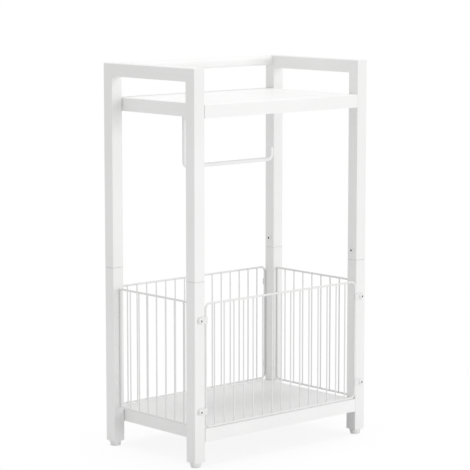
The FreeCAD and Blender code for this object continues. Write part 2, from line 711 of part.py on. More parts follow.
def make_foot(name, side, end):
    """Levelling foot of one leg: the threaded plug in the leg, the stem and the pad moulded on it."""
    plug = new_body(f"{name}_foot_plug")
    section = new_sketch(plug, "XY_Plane", z=size.foot_height)
    draw_cut_square(section, sleeve_side, size.sleeve_corner)
    draw_polygon(section, size.stem + size.stem_clearance * 2, sides=ROD_SIDES)
    pad(plug, section, size.plug_height)
    stem = new_body(f"{name}_foot_stem")
    thread = new_sketch(stem, "XY_Plane", z=size.pad_floor)
    draw_polygon(thread, size.stem, sides=ROD_SIDES)
    pad(stem, thread, size.stem_length)
    foot = new_body(f"{name}_foot_pad")
    top = size.foot_height - size.foot_gap
    sole = new_sketch(foot, "XY_Plane")
    draw_polygon(sole, size.pad_bottom, sides=PAD_SIDES)
    pad(foot, sole, top)
    widen(foot, top, (size.pad_top - size.pad_bottom) / 2)
    chamfer(foot, size.pad_bevel, lambda edge: edge.BoundBox.ZMax < 0.001)
    socket = new_sketch(foot, "XY_Plane", z=top)
    draw_polygon(socket, size.stem + size.pad_clearance * 2, sides=ROD_SIDES)
    pocket(foot, socket, top - size.pad_floor)
    for body in (plug, stem, foot):
        place(body, x=post_x * side, y=post_y * end)


def make_stand():
    """Builds every sub-part in turn."""
    make_upper_frame("left_upper_frame", -1)
    make_upper_frame("right_upper_frame", 1)
    for end, row_name in ((-1, "front"), (1, "back")):
        for side, side_name in ((-1, "left"), (1, "right")):
            name = f"{row_name}_{side_name}"
            make_leg(f"{name}_leg", side, end)
            make_sleeve(f"{name}_sleeve", side, end)
            make_foot(name, side, end)
    make_back_rail()
    make_tray("top_shelf_tray", top_shelf)
    make_tray("lower_shelf_tray", size.lower_shelf)
    make_stiffener("top_shelf_stiffener", top_shelf, True)
    make_stiffener("lower_shelf_stiffener", size.lower_shelf, False)
    corners = (size.panel_corner, size.panel_corner)
    make_panel("front_wire_panel", front_span, size.front_wires, corners, 0, y=-panel_bar_y)
    make_panel("back_wire_panel", front_span, size.front_wires, corners, 180, y=panel_bar_y)
    corners = (size.side_panel_corner, size.side_panel_heel)
    make_panel("left_wire_panel", side_span, size.side_wires, corners, -90, x=-side_bar_x, on_tabs=False)
    make_panel("right_wire_panel", side_span, size.side_wires, corners, 90, x=side_bar_x, on_tabs=False)
    make_roll_holder()
    make_fasteners()


def check_and_write():
    """Stops on any failed object or bad solid, then writes one file for each sub-part."""
    doc.recompute()
    for item in doc.Objects:
        if {"Invalid", "Error"} & set(item.State):
            raise ValueError(f"{item.Name} failed: {item.State}")
    for body in pieces:
        if body.Shape.isNull() or not body.Shape.isValid() or not body.Shape.Solids:
            raise ValueError(f"{body.Label} has no sound solid")
    os.makedirs("parts", exist_ok=True)
    for body in pieces:
        body.Shape.exportStep(f"parts/{body.Label}.step")
        print(body.Label, len(body.Shape.Solids), round(body.Shape.Volume, 1))


make_stand()
check_and_write()
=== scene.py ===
"""Dresses a white bathroom stand: round wires, screws, feet and coatings over its fixed frame."""

import logging
import math
from dataclasses import dataclass, field
from enum import Enum

import bmesh
import bpy
import numpy as np
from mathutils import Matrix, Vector


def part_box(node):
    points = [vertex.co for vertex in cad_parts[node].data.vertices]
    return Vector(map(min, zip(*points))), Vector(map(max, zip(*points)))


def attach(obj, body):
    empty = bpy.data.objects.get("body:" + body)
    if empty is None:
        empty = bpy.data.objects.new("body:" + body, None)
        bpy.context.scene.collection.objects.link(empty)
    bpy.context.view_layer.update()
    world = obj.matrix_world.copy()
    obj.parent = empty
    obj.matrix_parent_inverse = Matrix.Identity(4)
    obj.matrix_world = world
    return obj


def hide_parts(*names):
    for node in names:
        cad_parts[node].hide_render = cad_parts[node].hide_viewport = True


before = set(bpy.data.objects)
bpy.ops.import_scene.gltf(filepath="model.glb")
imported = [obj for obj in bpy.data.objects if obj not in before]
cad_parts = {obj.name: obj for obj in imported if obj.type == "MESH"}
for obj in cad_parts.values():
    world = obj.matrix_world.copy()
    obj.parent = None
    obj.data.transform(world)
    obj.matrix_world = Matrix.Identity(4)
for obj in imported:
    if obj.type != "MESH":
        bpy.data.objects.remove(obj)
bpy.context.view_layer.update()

LOG = logging.getLogger("stand")
STAND = "stand"
CORNERS = ("front_left", "front_right", "back_left", "back_right")

# Metres in a millimetre; vertices nearer than this many metres are one; edges that bend less are smooth.
MM = 0.001
MERGE_BELOW = 1e-7
SMOOTH_BELOW = math.radians(38)

# Length of a rod's rounded end, as a share of its diameter; rows of a straight rod: its ends and its middle.
END_ROUNDING = 0.3
STRAIGHT_ROWS = 3

# Where most of a noise's values lie.
NOISE_SPAN = (0.3, 0.7)

FULL_TURN = 2.0 * np.pi
SIDEWAYS = np.array((1.0, 0.0, 0.0))
FORWARD = np.array((0.0, -1.0, 0.0))
UPRIGHT = np.array((0.0, 0.0, 1.0))
UNTURNED = np.eye(3)
BOTH_WAYS = (-1.0, 1.0)

Pair = tuple[float, float]
Triple = tuple[float, float, float]


@dataclass
class Shell:
    """One closed surface: its points, its faces, and how many first faces take a second finish."""

    points: np.ndarray
    faces: np.ndarray
    inner: int = 0

    def moved(self, origin: np.ndarray, axes: np.ndarray = UNTURNED) -> "Shell":
        """Carries the shell to a new origin, along three new axes, one per row."""
        return Shell(origin + self.points @ axes, self.faces, self.inner)


def node_box(node: str) -> tuple[np.ndarray, np.ndarray]:
    """Lowest and highest corner of a fixed node, in millimetres.

    Args:
        node: The node's name.

    Returns:
        The two corners.
    """
    low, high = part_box(node)
    return np.array(low) / MM, np.array(high) / MM


def around(sides: int) -> np.ndarray:
    """Equal steps of angle once round a circle.

    Args:
        sides: Number of steps.

    Returns:
        The angle at the start of each step, in radians.
    """
    return np.linspace(0.0, FULL_TURN, sides, endpoint=False)


def grid_faces(rows: int, columns: int, closed: bool = False) -> np.ndarray:
    """Four-sided faces of a grid whose columns run round and meet.

    Vertex (i, j) has the number i * columns + j, and face (i, j) joins it to its next three.

    Args:
        rows: Number of rows along the shape.
        columns: Number of vertices round the shape.
        closed: Whether the last row joins the first.

    Returns:
        One row of four vertex numbers for each face.
    """
    i = np.arange(rows if closed else rows - 1)[:, None]
    j = np.arange(columns)[None, :]
    down = (i + 1) % rows
    along = (j + 1) % columns
    ends = (i * columns + j, i * columns + along, down * columns + along, down * columns + j)
    return np.stack(np.broadcast_arrays(*ends), -1).reshape(-1, 4)


def round_sweep(
        path: np.ndarray, radius: np.ndarray, normal: np.ndarray, sides: int, closed: bool = False) -> Shell:
    """A circle carried along a path that lies in one plane.

    Each circle spans the plane's normal and that normal crossed with the path's direction. Its
    radius follows the given row, and a radius of nought closes the end to a pole.

    Args:
        path: The circle's centres, one per row.
        radius: One radius for each centre.
        normal: Unit normal of the path's plane.
        sides: Number of vertices round the circle.
        closed: Whether the path is a loop.

    Returns:
        The surface.
    """
    if closed:
        ahead = np.roll(path, -1, 0) - np.roll(path, 1, 0)
    else:
        ahead = np.gradient(path, axis=0)
    ahead = ahead / np.linalg.norm(ahead, axis=1, keepdims=True)
    side = np.cross(normal, ahead)
    turn = around(sides)[None, :, None]
    spoke = np.cos(turn) * side[:, None, :] + np.sin(turn) * normal
    points = path[:, None, :] + radius[:, None, None] * spoke
    return Shell(points.reshape(-1, 3), grid_faces(len(path), sides, closed))


def turned(reach: np.ndarray, level: np.ndarray, sides: int) -> Shell:
    """A profile turned about the Z axis: each point of it becomes a ring of that reach and level.

    Args:
        reach: Distance from the axis, one per row, or one for each vertex of each row.
        level: Height, in the same form.
        sides: Number of vertices round the axis.

    Returns:
        The surface.
    """
    turn = around(sides)
    level = np.broadcast_to(level, (len(level), sides))
    points = np.stack((reach * np.cos(turn), reach * np.sin(turn), level), -1)
    return Shell(points.reshape(-1, 3), grid_faces(len(level), sides))


def domed_ends(path: np.ndarray, radius: float, steps: int = 7) -> tuple[np.ndarray, np.ndarray]:
    """Rounds both ends of a path.

    On the way in the radius grows as the sine of an angle from 0 to 90 degrees, while the centre
    moves on by the rounding's length times one minus the angle's cosine.

    Args:
        path: The centres, from end to end.
        radius: Full radius.
        steps: Rows in each end.

    Returns:
        The longer path and a radius for each of its rows.
    """
    angle = np.linspace(0.0, np.pi / 2, steps)[:, None]
    onward = END_ROUNDING * 2.0 * radius * (1.0 - np.cos(angle))
    first = path[1] - path[0]
    last = path[-2] - path[-1]
    start = path[0] + onward * first / np.linalg.norm(first)
    finish = path[-1] + onward * last / np.linalg.norm(last)
    grown = radius * np.sin(angle[:, 0])
    middle = path[1:-1]
    radii = np.concatenate((grown, np.full(len(middle), radius), grown[::-1]))
    return np.concatenate((start, middle, finish[::-1])), radii


def arc(centre: Pair, radius: float, start: float, stop: float, steps: int) -> np.ndarray:
    """Points of a circular arc in its plane.

    Args:
        centre: The arc's centre.
        radius: The arc's radius.
        start: First angle in degrees.
        stop: Last angle in degrees.
        steps: Number of points.

    Returns:
        One point per row.
    """
    angle = np.radians(np.linspace(start, stop, steps))
    return np.stack((centre[0] + radius * np.cos(angle), centre[1] + radius * np.sin(angle)), 1)


def rounded_outline(low: Pair, high: Pair, upper: float, lower: float, steps: int) -> np.ndarray:
    """A rectangle's outline with round corners, anticlockwise: four quarter arcs in a row.

    Args:
        low: Lowest corner.
        high: Highest corner.
        upper: Radius of the upper corners.
        lower: Radius of the lower corners.
        steps: Points in each corner.

    Returns:
        One point per row.
    """
    turns = (
        ((high[0] - upper, high[1] - upper), upper),
        ((low[0] + upper, high[1] - upper), upper),
        ((low[0] + lower, low[1] + lower), lower),
        ((high[0] - lower, low[1] + lower), lower),
    )
    quarters = [arc(centre, radius, 90 * k, 90 * k + 90, steps) for k, (centre, radius) in enumerate(turns)]
    return np.concatenate(quarters)


def plate(outline: np.ndarray, low: float, high: float, edge: float) -> Shell:
    """A flat plate with bevelled edges over an outline.

    Rows of the grid are the outline drawn in by the edge or not at all, at rising heights, and each
    flat face closes to a pole at the outline's middle. Drawing in goes along the outline's normal.

    Args:
        outline: Anticlockwise points of the outline.
        low: Height of the lower face.
        high: Height of the upper face.
        edge: Width of the bevel.

    Returns:
        The surface.
    """
    ahead = np.roll(outline, -1, 0) - np.roll(outline, 1, 0)
    ahead = ahead / np.linalg.norm(ahead, axis=1, keepdims=True)
    outward = np.stack((ahead[:, 1], -ahead[:, 0]), 1)
    drawn = outline - edge * outward
    middle = np.broadcast_to(outline.mean(0), outline.shape)
    rings = np.stack((middle, drawn, outline, outline, drawn, middle))
    heights = np.array((low, low, low + edge, high - edge, high, high))
    rise = np.broadcast_to(heights[:, None, None], rings.shape[:2] + (1,))
    return Shell(np.concatenate((rings, rise), 2).reshape(-1, 3), grid_faces(len(rings), len(outline)))


def lump(centre: np.ndarray, reach: Triple, rows: int = 5, sides: int = 10) -> Shell:
    """A small ellipsoid: the sphere of two angles, stretched by three half sizes.

    Args:
        centre: Its middle.
        reach: Half sizes along the three axes.
        rows: Rows from pole to pole.
        sides: Vertices in each row.

    Returns:
        The surface.
    """
    angle = np.linspace(0.0, np.pi, rows)[:, None]
    ball = turned(np.sin(angle), -np.cos(angle), sides)
    return Shell(centre + ball.points * np.array(reach), ball.faces)


def axes_along(outward: np.ndarray, spin: float) -> np.ndarray:
    """Right-handed axes whose third one is the given direction, turned about it.

    Args:
        outward: Unit direction of the third axis, along X, Y or Z.
        spin: Turn about it in degrees.

    Returns:
        The three axes, one per row.
    """
    seed = UPRIGHT if outward[2] == 0.0 else SIDEWAYS
    across = np.cross(seed, outward)
    upward = np.cross(outward, across)
    turn = math.radians(spin)
    first = math.cos(turn) * across + math.sin(turn) * upward
    return np.stack((first, np.cross(outward, first), outward))


def solid(name: str, shells: list[Shell]) -> bpy.types.Object:
    """One object from several closed shells given in millimetres.

    The shells are laid end to end, doubled vertices at seams and poles are merged, the faces are
    turned outwards, and edges that bend less than the smoothing angle are shaded smooth.

    Args:
        name: The piece's name.
        shells: The surfaces.

    Returns:
        The object, at the origin.
    """
    starts = np.cumsum([0] + [len(shell.points) for shell in shells[:-1]])
    points = np.concatenate([shell.points for shell in shells]) * MM
    faces = np.concatenate([shell.faces + start for shell, start in zip(shells, starts)])
    marks = np.concatenate([np.arange(len(shell.faces)) < shell.inner for shell in shells])
    mesh = bpy.data.meshes.new(name)
    mesh.from_pydata(points.tolist(), [], faces.tolist())
    mesh.polygons.foreach_set("material_index", marks.astype(np.int32))
    work = bmesh.new()
    work.from_mesh(mesh)
    bmesh.ops.remove_doubles(work, verts=work.verts, dist=MERGE_BELOW)
    bmesh.ops.recalc_face_normals(work, faces=work.faces)
    work.to_mesh(mesh)
    work.free()
    mesh.polygons.foreach_set("use_smooth", np.ones(len(mesh.polygons), dtype=bool))
    mesh.set_sharp_from_angle(angle=SMOOTH_BELOW)
    mesh.update()
    piece = bpy.data.objects.new(name, mesh)
    bpy.context.scene.collection.objects.link(piece)
    return piece


class NodeGraph:
    """The node tree of a material or a world, with short ways to add and join nodes."""

    def __init__(self, owner: bpy.types.Material | bpy.types.World, output: str) -> None:
        """Empties the owner's tree and gives it an output.

        Args:
            owner: What the tree belongs to.
            output: The output node's type.
        """
        owner.use_nodes = True
        self.owner = owner
        self.tree = owner.node_tree
        self.tree.nodes.clear()
        self.output = self.add(output)

    @classmethod
    def of_material(cls, name: str) -> "NodeGraph":
        """Starts the tree of a new material."""
        return cls(bpy.data.materials.new(name), "ShaderNodeOutputMaterial")

    def add(self, kind: str, **settings: object) -> bpy.types.Node:
        """Adds a node; settings name its inputs, or its own properties where no input has the name.

        Args:
            kind: The node's type.
            **settings: Values by name, with _ for a space.

        Returns:
            The node.
        """
        node = self.tree.nodes.new(kind)
        for key, value in settings.items():
            label = key.replace("_", " ")
            if label in node.inputs:
                node.inputs[label].default_value = value
            else:
                setattr(node, key, value)
        return node

    def join(self, source: bpy.types.NodeSocket, target: bpy.types.NodeSocket) -> None:
        """Links one socket to another."""
        self.tree.links.new(source, target)

    def surface(self, source: bpy.types.Node) -> None:
        """Links a node's first output to the tree's surface."""
        self.join(source.outputs[0], self.output.inputs["Surface"])

    def noise(self, scale: float, layers: float) -> bpy.types.NodeSocket:
        """A noise pattern on Object coordinates.

        Args:
            scale: Waves per metre, about.
            layers: Number of finer layers.

        Returns:
            The pattern's value.
        """
        place = self.add("ShaderNodeTexCoord")
        pattern = self.add("ShaderNodeTexNoise", Scale=scale, Detail=layers)
        self.join(place.outputs["Object"], pattern.inputs["Vector"])
        return pattern.outputs[0]

    def spread(
            self, value: bpy.types.NodeSocket, to: Pair, span: Pair = (0.0, 1.0)) -> bpy.types.NodeSocket:
        """Maps a span of values evenly to another one, and holds it at the ends.

        Args:
            value: What is mapped.
            to: First and last result.
            span: The values that give them.

        Returns:
            The mapped value.
        """
        node = self.add(
            "ShaderNodeMapRange", From_Min=span[0], From_Max=span[1], To_Min=to[0], To_Max=to[1])
        self.join(value, node.inputs["Value"])
        return node.outputs[0]

    def shade(self, value: bpy.types.NodeSocket, dark: Triple, light: Triple) -> bpy.types.NodeSocket:
        """Runs a noise through a ramp from the dark colour to the light one.

        Args:
            value: The noise.
            dark: Colour of its low values.
            light: Colour of its high values.

        Returns:
            The colour.
        """
        ramp = self.add("ShaderNodeValToRGB")
        for stop, place, colour in zip(ramp.color_ramp.elements, NOISE_SPAN, (dark, light)):
            stop.position = place
            stop.color = (*colour, 1.0)
        self.join(value, ramp.inputs["Fac"])
        return ramp.outputs["Color"]

    def combine(
            self, operation: str, first: bpy.types.NodeSocket,
            second: bpy.types.NodeSocket) -> bpy.types.NodeSocket:
        """Works out one value from two.

        Args:
            operation: What is done with them.
            first: First value.
            second: Second value.

        Returns:
            The result.
        """
        node = self.add("ShaderNodeMath", operation=operation)
        self.join(first, node.inputs[0])
        self.join(second, node.inputs[1])
        return node.outputs[0]

    def bump(self, value: bpy.types.NodeSocket, strength: float, depth: float) -> bpy.types.NodeSocket:
        """A fine relief from a pattern.

        Args:
            value: The pattern.
            strength: How much of the relief counts.
            depth: Its full depth in metres.

        Returns:
            The surface's normal.
        """
        relief = self.add("ShaderNodeBump", Strength=strength, Distance=depth)
        self.join(value, relief.inputs["Height"])
        return relief.outputs["Normal"]


@dataclass(frozen=True)
class Finish:
    """A surface finish: two near colours, a span of roughness and a fine relief.

    Colour, gloss and relief each follow a noise, which has a scale and a number of finer layers.
    """

    name: str
    dark: Triple
    light: Triple
    roughness: Pair
    relief_scale: float
    relief_depth: float
    relief_strength: float = 0.3
    relief_layers: float = 1.0
    colour_scale: float = 7.0
    colour_layers: float = 3.0
    gloss_scale: float = 63.0
    gloss_layers: float = 4.0
    metallic: float = 0.0
    specular: float = 0.5

    def material(self) -> bpy.types.Material:
        """Builds the material: cloudy noise for colour, finer noise for gloss and relief.

        Returns:
            The material.
        """
        graph = NodeGraph.of_material(self.name)
        shader = graph.add(
            "ShaderNodeBsdfPrincipled", Metallic=self.metallic, Specular_IOR_Level=self.specular)
        cloud = graph.noise(self.colour_scale, self.colour_layers)
        graph.join(graph.shade(cloud, self.dark, self.light), shader.inputs["Base Color"])
        patch = graph.noise(self.gloss_scale, self.gloss_layers)
        graph.join(graph.spread(patch, self.roughness, NOISE_SPAN), shader.inputs["Roughness"])
        peel = graph.noise(self.relief_scale, self.relief_layers)
        relief = graph.bump(peel, self.relief_strength, self.relief_depth)
        graph.join(relief, shader.inputs["Normal"])
        graph.surface(shader)
        return graph.owner


class Coat(Enum):
    """The stand's finishes."""

    POWDER = Finish(
        "white_powder_coat", dark=(0.885, 0.885, 0.880), light=(0.915, 0.915, 0.912),
        roughness=(0.34, 0.44), relief_scale=620.0, relief_depth=3e-5)
    WIRE = Finish(
        "white_wire_coat", dark=(0.825, 0.825, 0.820), light=(0.855, 0.855, 0.852),
        roughness=(0.46, 0.56), relief_scale=700.0, relief_depth=3e-5, specular=0.25)
    SHELF = Finish(
        "white_shelf_coat", dark=(0.920, 0.920, 0.916), light=(0.950, 0.950, 0.947),
        roughness=(0.37, 0.47), relief_scale=540.0, relief_depth=4e-5)
    SCREW = Finish(
        "white_screw_paint", dark=(0.84, 0.84, 0.835), light=(0.89, 0.89, 0.885),
        roughness=(0.30, 0.42), relief_scale=1500.0, relief_depth=2e-5)
    PLASTIC = Finish(
        "white_moulded_plastic", dark=(0.87, 0.87, 0.865), light=(0.91, 0.91, 0.905),
        roughness=(0.48, 0.60), relief_scale=2200.0, relief_depth=2e-5)
    ZINC = Finish(
        "zinc_plated_steel", dark=(0.56, 0.57, 0.58), light=(0.66, 0.67, 0.68),
        roughness=(0.26, 0.42), relief_scale=1800.0, relief_depth=1e-5, metallic=1.0)
    # Painted shade: near-black socket walls of the seam screws stand in for the shade deep in their
    # recesses.
    SOCKET = Finish(
        "dark_socket_painted_shade", dark=(0.10, 0.10, 0.10), light=(0.16, 0.16, 0.16),
        roughness=(0.40, 0.55), relief_scale=1800.0, relief_depth=1e-5, metallic=0.6)
    # Painted shade: mid-grey socket walls of the panel screws stand in for the shade in their white-painted
    # recesses.
    GREY_SOCKET_PAINTED_SHADE = Finish(
        "grey_socket_painted_shade", dark=(0.42, 0.42, 0.42), light=(0.52, 0.52, 0.52),
        roughness=(0.45, 0.60), relief_scale=1800.0, relief_depth=1e-5)


class Paint:
    """Makes each finish once and puts it on pieces."""

    def __init__(self) -> None:
        """Starts with every finish made."""
        self.made = {coat: coat.value.material() for coat in Coat}

    def dress(self, piece: bpy.types.Object, *coats: Coat) -> None:
        """Puts finishes in the piece's material slots, in order.

        Args:
            piece: The piece or fixed node.
            *coats: The finishes; the first goes in every slot that is there already.
        """
        for slot in piece.material_slots:
            slot.material = self.made[coats[0]]
        for coat in coats[len(piece.material_slots):]:
            piece.data.materials.append(self.made[coat])

    def fit(
            self, piece: bpy.types.Object, coats: tuple[Coat, ...], node: str,
            body: str = STAND) -> None:
        """Dresses a new piece, sets its body, and hides the fixed node that it replaces.

        Args:
            piece: The new piece.
            coats: Its finishes.
            node: The fixed node that it replaces.
            body: The body that it rides on.
        """
        self.dress(piece, *coats)
        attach(piece, body)
        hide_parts(node)
        LOG.info("%s: %d faces", piece.name, len(piece.data.polygons))


class FixedFrame:
    """The tubes, trays and small hidden pieces that keep the shapes of their fixed nodes."""

    COATS: dict[str, Coat] = {
        "upper_frame": Coat.POWDER,
        "leg": Coat.POWDER,
        "back_rail": Coat.POWDER,
        "sleeve": Coat.ZINC,
        "tray": Coat.SHELF,
        "stiffener": Coat.SHELF,
        "plug": Coat.PLASTIC,
        "nuts": Coat.ZINC,
    }

    def build(self, paint: Paint) -> None:
        """Puts the right finish on every fixed node whose name ends in one of the words.

        Args:
            paint: Where the finishes come from.
        """
        for name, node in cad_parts.items():
            for ending, coat in self.COATS.items():
                if name.endswith(ending):
                    paint.dress(node, coat)
                    LOG.info("%s: %s", name, coat.value.name)


class Side(Enum):
    """The four sides of the lower shelf: the way along the panel, and the way in."""

    FRONT = ((1, 0, 0), (0, 1, 0))
    BACK = ((-1, 0, 0), (0, -1, 0))
    LEFT = ((0, -1, 0), (1, 0, 0))
    RIGHT = ((0, 1, 0), (-1, 0, 0))

    def axes(self) -> np.ndarray:
        """The panel's own axes: along it, up and outwards, one per row."""
        along, inward = (np.array(way, float) for way in self.value)
        return np.stack((along, UPRIGHT, -inward))

    def is_long(self) -> bool:
        """Whether the panel is a long one, held by screws and not by pins."""
        return self in (Side.FRONT, Side.BACK)


@dataclass
class WirePanel:
    """One wire panel: a bent rim, upright wires with welds, and the fixings at its ends.

    The panel's own axes run along it, up and outwards, from the middle of the rim's plane. Corners
    holds the bend radii of the upper and the lower corners, at the middle of the bar, inset the
    distance from the posts' outer faces to that middle, and weld the half sizes of a weld lump.
    """

    side: Side
    wires: int
    corners: Pair
    inset: float
    rim: float = 4.0
    wire: float = 2.6
    sink: float = 0.4
    overrun: float = 0.8
    end_gap: float = 0.2
    weld: Triple = (1.8, 1.4, 0.8)
    tab_height: float = 13.0
    tab_sheet: float = 2.0
    tab_corner: float = 1.0
    tab_edge: float = 0.2
    tab_inset: float = 30.0
    pin: float = 5.0
    pin_inset: float = 48.0
    rim_sides: int = 16
    wire_sides: int = 12
    bend_steps: int = 10
    tab_end_steps: int = 25
    tab_corner_steps: int = 5

    def __post_init__(self) -> None:
        """Works out the panel's place and span from its fixed node and from a leg."""
        self.node = f"{self.side.name.lower()}_wire_panel"
        self.axes = self.side.axes()
        along, _, outward = self.axes
        low, high = node_box(self.node)
        leg = np.abs(node_box("front_right_leg"))
        ends = leg @ np.abs(along)
        self.middle = (low[2] + high[2]) / 2
        self.half_height = (high[2] - low[2] - self.rim) / 2
        self.plane = (leg @ np.abs(outward)).max() - self.inset
        self.half_span = ends.min() - self.end_gap - self.rim / 2
        self.leg_middle = ends.mean()
        self.reach = high @ np.abs(along)

    def rim_shell(self) -> Shell:
        """The rim: a circle carried round a rectangle with bent corners.

        Returns:
            The surface.
        """
        high = (self.half_span, self.half_height)
        low = (-self.half_span, -self.half_height)
        loop = rounded_outline(low, high, *self.corners, self.bend_steps)
        path = np.concatenate((loop, np.zeros((len(loop), 1))), 1)
        return round_sweep(path, np.full(len(path), self.rim / 2), UPRIGHT, self.rim_sides, closed=True)

    def wire_places(self) -> np.ndarray:
        """Where the upright wires stand, evenly between the rim's ends."""
        pitch = 2 * self.half_span / (self.wires + 1)
        return pitch * (np.arange(self.wires) - (self.wires - 1) / 2)

    def wire_shells(self) -> list[Shell]:
        """Upright wires with rounded ends, inside the rim and sunk a little into its bars.

        Returns:
            One shell for each wire.
        """
        reach = self.half_height + self.overrun
        depth = self.sink - self.rim / 2 - self.wire / 2
        line = np.linspace((0.0, -reach, depth), (0.0, reach, depth), STRAIGHT_ROWS)
        path, radii = domed_ends(line, self.wire / 2)
        wire = round_sweep(path, radii, UPRIGHT, self.wire_sides)
        return [wire.moved(place * SIDEWAYS) for place in self.wire_places()]

    def weld_shells(self) -> list[Shell]:
        """A low weld lump where each wire crosses the top and the bottom bar.

        Returns:
            One shell for each weld.
        """
        depth = self.sink / 2 - self.rim / 2
        levels = (-self.half_height, self.half_height)
        spots = [(place, level, depth) for place in self.wire_places() for level in levels]
        return [lump(np.array(spot), self.weld) for spot in spots]

    def at_each_end(self, fixing: Shell, inset: float) -> list[Shell]:
        """Carries one fixing to both ends of the rim, near the top bar and near the bottom bar.

        Args:
            fixing: The fixing of the far end, level with the rim's middle.
            inset: Its distance from either bar.

        Returns:
            The four fixings.
        """
        shells = []
        for hand in BOTH_WAYS:
            for way in BOTH_WAYS:
                rise = way * (self.half_height - inset)
                shells.append(fixing.moved(np.array((0.0, rise, 0.0)), np.diag((hand, 1.0, 1.0))))
        return shells

    def tab_shells(self) -> list[Shell]:
        """Screw tabs on the rim's ends: a plate with a half round end centred on the screw.

        Returns:
            One plate for each screw.
        """
        half = self.tab_height / 2
        corner = self.tab_corner
        near = self.half_span - self.rim / 2 + corner
        round_end = arc((self.leg_middle, 0.0), half, -90, 90, self.tab_end_steps)
        top = arc((near, half - corner), corner, 90, 180, self.tab_corner_steps)
        foot = arc((near, corner - half), corner, 180, 270, self.tab_corner_steps)
        outline = np.concatenate((round_end, top, foot))
        inner = self.rim / 2 - self.sink
        tab = plate(outline, inner, inner + self.tab_sheet, self.tab_edge)
        return self.at_each_end(tab, self.tab_inset)

    def pin_shells(self) -> list[Shell]:
        """Pins on the rim's ends that sit in the legs: a circle carried straight out.

        Returns:
            One shell for each pin.
        """
        line = np.linspace(self.half_span * SIDEWAYS, self.reach * SIDEWAYS, STRAIGHT_ROWS)
        path, radii = domed_ends(line, self.pin / 2)
        pin = round_sweep(path, radii, UPRIGHT, self.rim_sides)
        return self.at_each_end(pin, self.pin_inset)

    def build(self, paint: Paint) -> None:
        """Makes the panel in place of its fixed node and coats it.

        Args:
            paint: Where the finishes come from.
        """
        shells = [self.rim_shell()] + self.wire_shells() + self.weld_shells()
        shells += self.tab_shells() if self.side.is_long() else self.pin_shells()
        origin = self.axes[2] * self.plane + self.middle * UPRIGHT
        name = f"{self.side.name.lower()}_panel_wires"
        piece = solid(name, [shell.moved(origin, self.axes) for shell in shells])
        paint.fit(piece, (Coat.WIRE,), self.node)


@dataclass
class Basket:
    """The four wire panels round the lower shelf."""

    long_wires: int = 15
    short_wires: int = 7
    long_corners: Pair = (10.0, 10.0)
    short_corners: Pair = (4.0, 9.0)
    long_inset: float = 1.1
    short_inset: float = 15.7

    def build(self, paint: Paint) -> None:
        """Makes the two long panels and the two short ones.

        Args:
            paint: Where the finishes come from.
        """
        for side in Side:
            if side.is_long():
                panel = WirePanel(side, self.long_wires, self.long_corners, self.long_inset)
            else:
                panel = WirePanel(side, self.short_wires, self.short_corners, self.short_inset)
            panel.build(paint)


@dataclass
class Screws:
    """A set of equal screws with domed heads and six-sided sockets.

    Crown and socket depth are shares of the head's height, and the socket's half width is a share of
    its radius. The first screw is turned by first_turn degrees, and each next one by next_turn more.
    """

    node: str
    radius: float
    height: float
    shank: float
    length: float
    crown: float = 0.40
    dome_power: float = 2.4
    socket: float = 0.40
    socket_depth: float = 0.66
    socket_break: float = 0.15
    lip: float = 1.06
    drill: float = 0.3
    bevel: float = 0.2
    point: float = 0.9
    first_turn: float = 17.0
    next_turn: float = 37.0
    dome_rows: int = 9
    sides: int = 48
    places: list[tuple[np.ndarray, np.ndarray]] = field(default_factory=list)

    def socket_outline(self) -> np.ndarray:
        """The hexagon's radius at each angle: half its width over the cosine from the nearest flat.

        Returns:
            One radius for each vertex of a ring.
        """
        sixth = FULL_TURN / 6
        from_flat = (around(self.sides) + sixth / 2) % sixth - sixth / 2
        return self.socket * self.radius / np.cos(from_flat)

    def shell(self) -> Shell:
        """One screw along Z, its head's highest point just below height nought.

        Rings run from the socket's floor up its six-sided wall, over the dome, down the skirt and
        the shank to the tip. On the dome a ring's radius goes from the hexagon's to the circle's
        with the sine of an angle from 0 to 90 degrees, and the level falls with a power of it.

        Returns:
            The surface.
        """
        hexagon = self.socket_outline()
        blend = np.sin(np.linspace(0.0, np.pi / 2, self.dome_rows))[:, None]
        over = (1.0 - blend) * hexagon * self.lip + blend * self.radius
        dome = -self.crown * self.height * (over / self.radius) ** self.dome_power
        edge = dome[0].min()
        floor = edge - self.socket_depth * self.height
        pole = np.zeros(self.sides)
        wall = np.stack((pole, hexagon - self.socket_break, hexagon, hexagon))
        wall_level = (floor - self.drill, floor, floor + self.socket_break, edge - self.socket_break)
        under = -self.height
        tip = under - self.length
        tail = (self.radius, self.radius - self.bevel, self.shank, self.shank, self.shank - self.point, 0.0)
        tail_level = (under + self.bevel, under, under, tip + self.point, tip, tip)
        even = np.ones(self.sides)
        reach = np.concatenate((wall, over, np.outer(tail, even)))
        level = np.concatenate((np.outer(wall_level, even), dome, np.outer(tail_level, even)))
        screw = turned(reach, level, self.sides)
        # The socket's faces take the second finish, a painted shade.
        screw.inner = (len(wall) - 1) * self.sides
        return screw

    def face_across(self, inner: float) -> "Screws":
        """Places the set on faces that look at each other across the stand, two on each.

        Args:
            inner: Distance of the heads from the stand's middle.

        Returns:
            The set itself.
        """
        low, high = node_box(self.node)
        level = (low[2] + high[2]) / 2
        for way in BOTH_WAYS:
            for y in (low[1] + self.radius, high[1] - self.radius):
                self.places.append((np.array((way * inner, y, level)), -way * SIDEWAYS))
        return self

    def build(self, paint: Paint, coats: tuple[Coat, Coat], slot: str) -> None:
        """Makes every screw of the set in place of its fixed node and coats it.

        Args:
            paint: Where the finishes come from.
            coats: The finishes of the head and of the socket; the socket's finish is painted shade.
            slot: The record's material slot; not used.
        """
        screw = self.shell()
        shells = []
        for number, (place, outward) in enumerate(self.places):
            spin = self.first_turn + self.next_turn * number
            shells.append(screw.moved(place, axes_along(outward, spin)))
        paint.fit(solid(f"{self.node}_heads", shells), coats, self.node)


